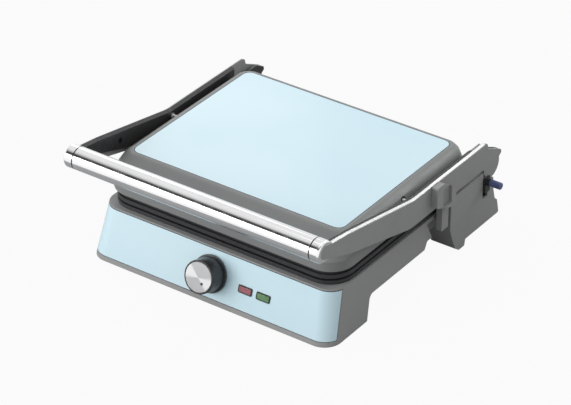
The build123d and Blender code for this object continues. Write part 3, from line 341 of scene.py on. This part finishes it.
def spun_disc(name):
    """Turned metal face of the dial: fine rings, and two fans of painted highlight, lighter colour by
    angle, like the fans of light that such a face shows.
    """
    axis = Vector(joints["knob_turn"]["axis"])
    lean = math.atan2(axis.z, -axis.y)
    low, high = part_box("knob_cap")
    finish = Finish(name, (0.38, 0.38, 0.385), 0.36, 0.85)
    face = finish.placed(centre=(low + high) / 2, turn=(-math.pi / 2 - lean, 0, 0))
    rings = finish.tree.nodes.new("ShaderNodeTexWave")
    rings.wave_type = "RINGS"
    rings.rings_direction = "Z"
    rings.inputs["Scale"].default_value = 520
    rings.inputs["Distortion"].default_value = 0.4
    finish.link(face, rings.inputs["Vector"])
    around = finish.tree.nodes.new("ShaderNodeTexGradient")
    around.gradient_type = "RADIAL"
    finish.link(face, around.inputs["Vector"])
    two_fans = 4 * math.pi
    fan_start = 2.1
    angle = calculate(finish.tree, "MULTIPLY_ADD", around.outputs["Fac"], two_fans, fan_start)
    painted_highlight_fans = calculate(finish.tree, "SINE", angle)
    # Painted highlight: two lighter fans laid into the colour by angle around the dial's axis
    finish.tint(finish.spread(painted_highlight_fans, 0.3, 0.7, 0.35, 1.0), (0.66, 0.66, 0.66), 0.9)
    finish.tint(rings.outputs["Fac"], (0.3, 0.3, 0.31), 0.25)
    finish.relief(rings.outputs["Fac"], 0.03, 0.25)
    return finish.material


def lamp_lens(name, colour, deeper):
    """Clear coloured plastic with a ribbed inside that shows through."""
    finish = Finish(name, colour, 0.16, Specular_IOR_Level=0.6, Coat_Weight=0.6, Coat_Roughness=0.05)
    ribs = finish.tree.nodes.new("ShaderNodeTexWave")
    ribs.bands_direction = "DIAGONAL"
    ribs.inputs["Scale"].default_value = 190
    ribs.inputs["Distortion"].default_value = 1.5
    finish.link(finish.placed(), ribs.inputs["Vector"])
    finish.tint(ribs.outputs["Fac"], deeper, 0.75)
    finish.tint(finish.noise(160, 3), shade(colour, 1.6), 0.4)
    finish.relief(ribs.outputs["Fac"], 0.1, 0.3)
    return finish.material


def clear_glass(name, colour):
    """Thin glass with a little waviness."""
    finish = Finish(name, colour, 0.05, Transmission_Weight=0.8)
    finish.gloss(finish.noise(400, 4), 0.03, 0.14)
    finish.relief(finish.noise(300, 3), 0.04, 0.2)
    return finish.material


grey_lid = moulded("grey_lid_moulding", (0.25, 0.254, 0.252), 0.4)
# Black of the arms' inner covers: glossier satin plastic, its colour lifted above the other black plastic
# as a painted sheen
black_satin_painted_sheen = moulded("black_satin_moulding", (0.03, 0.03, 0.031), 0.32)
# Painted shadow: the panels' rounded rims are darkened to stand for the shade in the gap around them
panel_rim = lacquered("panel_rim_shadow", (0.05, 0.065, 0.075), (0.04, 0.05, 0.06))
blackened = brushed("blackened_steel", (0.035, 0.035, 0.038), 0.4, (1, 1, 1))
zinc = brushed("zinc_plating", (0.66, 0.66, 0.64), 0.38, (1, 1, 1))
finishes = {
    "grey_plastic": moulded("grey_moulding", (0.295, 0.296, 0.291)),
    "black_plastic": moulded("black_moulding", (0.018, 0.018, 0.019), 0.3),
    "black_gloss": gloss_moulded("dial_black", (0.022, 0.021, 0.021), 0.32),
    "blue_panel": lacquered("pale_blue_lacquer", (0.645, 0.815, 0.885), (0.585, 0.79, 0.875)),
    "coated_aluminium": cast_coating("non_stick_coat", (0.030, 0.030, 0.032)),
    "element_steel": oxidised("heater_tube"),
    "sheet_steel": brushed("sheet_steel", (0.6, 0.61, 0.62), 0.36, (0.03, 1, 1)),
    "polished_metal": polished("polished_handle", (0.93, 0.93, 0.94), 0.1),
    "spun_metal": spun_disc("spun_face"),
    "trim_metal": brushed("bright_trim", (0.64, 0.64, 0.64), 0.42, (1, 0.03, 1)),
    "screw_steel": zinc,
    "brass": brushed("turned_brass", (0.78, 0.58, 0.27), 0.32, (0.05, 1, 1)),
    "rubber": rubbery("foot_rubber", (0.02, 0.02, 0.021)),
    "red_lens": lamp_lens("red_lens", (0.33, 0.095, 0.11), (0.16, 0.03, 0.04)),
    "green_lens": lamp_lens("green_lens", (0.095, 0.24, 0.08), (0.03, 0.11, 0.04)),
    "lamp_glass": clear_glass("lamp_glass", (0.95, 0.86, 0.78)),
    "cream_plastic": moulded("cream_moulding", (0.72, 0.67, 0.55)),
    "white_sleeve": rubbery("wire_sleeve", (0.6, 0.57, 0.5)),
    "blue_plastic": gloss_moulded("lever_blue", (0.075, 0.10, 0.22), 0.28),
}


# Pieces

def paint(name, material):
    """A node that keeps its solid and gets its finish."""
    node = nodes[name]
    node.data.materials.clear()
    node.data.materials.append(material)


def finished_shell(name, material, edge, rim=None):
    """A node's solid with corners broken by so many millimetres, in its own finish and its rim's."""
    node = nodes[name]
    mesh = bmesh.new()
    mesh.from_mesh(node.data)
    bmesh.ops.remove_doubles(mesh, verts=mesh.verts, dist=WELD)
    bmesh.ops.dissolve_limit(mesh, angle_limit=FLAT_TURN, verts=mesh.verts, edges=mesh.edges)
    if edge:
        corners = [e for e in mesh.edges if e.is_manifold and e.calc_face_angle(0.0) > SHARP_TURN]
        rounded = bmesh.ops.bevel(
            mesh, geom=corners, offset=edge * MM, offset_type="OFFSET", affect="EDGES",
            segments=CORNER_STEPS, profile=0.5, material=-1, clamp_overlap=not rim,
        )
        if rim:
            for face in rounded["faces"]:
                face.material_index = RIM_SLOT
    for face in mesh.faces:
        face.smooth = True
    for line in mesh.edges:
        line.smooth = not line.is_manifold or line.calc_face_angle(0.0) < SHARP_TURN
    piece_name = name + "_finished"
    data = bpy.data.meshes.new(piece_name)
    mesh.to_mesh(data)
    mesh.free()
    piece = bpy.data.objects.new(piece_name, data)
    bpy.context.scene.collection.objects.link(piece)
    piece.data.materials.append(material)
    if rim:
        piece.data.materials.append(rim)
    normals = piece.modifiers.new("even_normals", "WEIGHTED_NORMAL")
    normals.keep_sharp = True
    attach(piece, node["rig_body"])
    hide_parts(name)
    return piece


for name in nodes:
    paint(name, finishes[slots[name]])
paint("arm_screws", blackened)

rounding = {
    "base_housing": 0.6,
    "base_bottom_cover": 0.5,
    "front_panel": 0.5,
    "lower_plate": 0.5,
    "upper_plate": 0.5,
    "lid_frame": 0.5,
    "lid_panel": 0.4,
    "right_arm_shell": 0.45,
    "left_arm_shell": 0.45,
    "right_arm_inner_cover": 0.35,
    "left_arm_inner_cover": 0.35,
    "right_arm_strip": 0.12,
    "left_arm_strip": 0.12,
    "handle_end_caps": 0.4,
    "handle_rings": 0.15,
    "handle_bar": 0.2,
    "lock_slider": 0.7,
    "hinge_block_right": 0.6,
    "hinge_block_left": 0.6,
    "release_lever": 0.4,
    "release_tip": 0.3,
    "knob_body": 0.5,
    "lamp_bezels": 0.3,
    "red_lamp_lens": 0.3,
    "green_lamp_lens": 0.3,
    "rubber_feet": 0.4,
    "hinge_pins": 0.3,
    "lid_pivot_pins": 0.3,
    "cord_gland": 0.5,
    "thermostat": 0.5,
    "terminal_block": 0.4,
}
special = {
    "lid_frame": grey_lid,
    "right_arm_inner_cover": black_satin_painted_sheen,
    "left_arm_inner_cover": black_satin_painted_sheen,
}
# The blue panels' rims take the dark painted-shadow finish
painted_shadow_rims = {"front_panel": panel_rim, "lid_panel": panel_rim}
for name, edge in rounding.items():
    finished_shell(name, special.get(name, finishes[slots[name]]), edge, painted_shadow_rims.get(name))

# The release spring, between the block's floor and the lever's shelf, gets a mesh of its own
spring = finished_shell("release_spring", zinc, 0)
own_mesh(spring)


# Studio: a white floor, a white surround, soft lamps

def studio_floor():
    """White floor that takes soft shadows, and is bright further out in reflections."""
    mesh = bmesh.new()
    bmesh.ops.create_grid(mesh, x_segments=1, y_segments=1, size=FLOOR_SIZE / 2)
    data = bpy.data.meshes.new("studio_floor")
    mesh.to_mesh(data)
    mesh.free()
    floor = bpy.data.objects.new("studio_floor", data)
    bpy.context.scene.collection.objects.link(floor)
    finish = Finish("floor_white", (0.36, 0.36, 0.36), 0.9, Specular_IOR_Level=0.1)
    finish.tint(finish.noise(3, 2), (0.34, 0.34, 0.34), 0.5)
    tree = finish.tree
    reach = tree.nodes.new("ShaderNodeVectorMath")
    reach.operation = "LENGTH"
    tree.links.new(finish.placed(), reach.inputs[0])
    beyond = finish.spread(reach.outputs["Value"], 0.0, 1.0, BRIGHT_FROM, BRIGHT_FULL)
    glow = tree.nodes.new("ShaderNodeEmission")
    glow.inputs["Color"].default_value = WHITE
    glow.inputs["Strength"].default_value = 1.0
    seen, mirrored = ray_kinds(tree)
    share = calculate(tree, "MULTIPLY", seen, FLOOR_GLOW)
    share = calculate(tree, "MULTIPLY_ADD", mirrored, beyond, share)
    surface = mixed_shader(tree, share, finish.shader.outputs[0], glow.outputs[0])
    tree.links.new(surface, tree.nodes["Material Output"].inputs["Surface"])
    floor.data.materials.append(finish.material)


def wall(tree, height, stops):
    """Brightness of a wall of the room at a height, from stops of height and brightness."""
    ramp = tree.nodes.new("ShaderNodeValToRGB")
    ends = ramp.color_ramp.elements
    ends[0].position, first = stops[0]
    ends[0].color = (first, first, first, 1)
    ends[1].position, last = stops[-1]
    ends[1].color = (last, last, last, 1)
    for position, value in stops[1:-1]:
        ends.new(position).color = (value, value, value, 1)
    tree.links.new(height, ramp.inputs["Fac"])
    return ramp.outputs["Color"]


def studio_surround():
    """White where it is seen directly, brighter from the left as light, and in reflections a white room
    with a dark band high up on its front side."""
    world = bpy.data.worlds.new("studio")
    bpy.context.scene.world = world
    world.use_nodes = True
    tree = world.node_tree
    coordinate = tree.nodes.new("ShaderNodeTexCoord")
    direction = tree.nodes.new("ShaderNodeSeparateXYZ")
    tree.links.new(coordinate.outputs["Generated"], direction.inputs[0])

    light = tree.nodes["Background"]
    light.inputs["Color"].default_value = DAYLIGHT
    strength = map_range(tree, direction.outputs["X"], -1.0, 1.0, DAYLIGHT_LEFT, DAYLIGHT_RIGHT)
    tree.links.new(strength, light.inputs["Strength"])

    height = calculate(tree, "MULTIPLY_ADD", direction.outputs["Z"], 0.5, 0.5)
    walls = tree.nodes.new("ShaderNodeMix")
    walls.data_type = "RGBA"
    to_rear = map_range(tree, direction.outputs["Y"], -WALL_SEAM, WALL_SEAM, 0.0, 1.0)
    tree.links.new(to_rear, walls.inputs["Factor"])
    tree.links.new(wall(tree, height, FRONT_WALL), walls.inputs["A"])
    tree.links.new(wall(tree, height, REAR_WALL), walls.inputs["B"])
    room = tree.nodes.new("ShaderNodeBackground")
    tree.links.new(walls.outputs["Result"], room.inputs["Color"])

    plain = tree.nodes.new("ShaderNodeBackground")
    plain.inputs["Color"].default_value = WHITE
    plain.inputs["Strength"].default_value = 1.0

    seen, mirrored = ray_kinds(tree)
    around = mixed_shader(tree, mirrored, light.outputs[0], room.outputs[0])
    around = mixed_shader(tree, seen, around, plain.outputs[0])
    tree.links.new(around, tree.nodes["World Output"].inputs["Surface"])


def soft_lamp(name, place, size, power):
    """Rectangular lamp of so many watts, aimed at the object."""
    data = bpy.data.lights.new(name, "AREA")
    data.shape = "RECTANGLE"
    data.size, data.size_y = size
    data.energy = power
    lamp = bpy.data.objects.new(name, data)
    bpy.context.scene.collection.objects.link(lamp)
    spot = Vector(place)
    turn = (spot - LAMP_AIM).to_track_quat("Z", "Y").to_matrix().to_4x4()
    lamp.matrix_world = Matrix.Translation(spot) @ turn


camera_at_photo_angle()
studio_floor()
studio_surround()
soft_lamp("window_left", (-1.2, -2.0, 0.68), (1.8, 1.02), 24)
soft_lamp("ceiling", (0.1, 0.1, 2.3), (1.8, 1.8), 4)
soft_lamp("window_right", (1.2, 1.8, 1.3), (1.2, 0.8), 12)
soft_lamp("window_back", (-1.75, 1.8, 1.4), (0.9, 0.9), 2.5)
bpy.context.scene.view_settings.view_transform = "Standard"
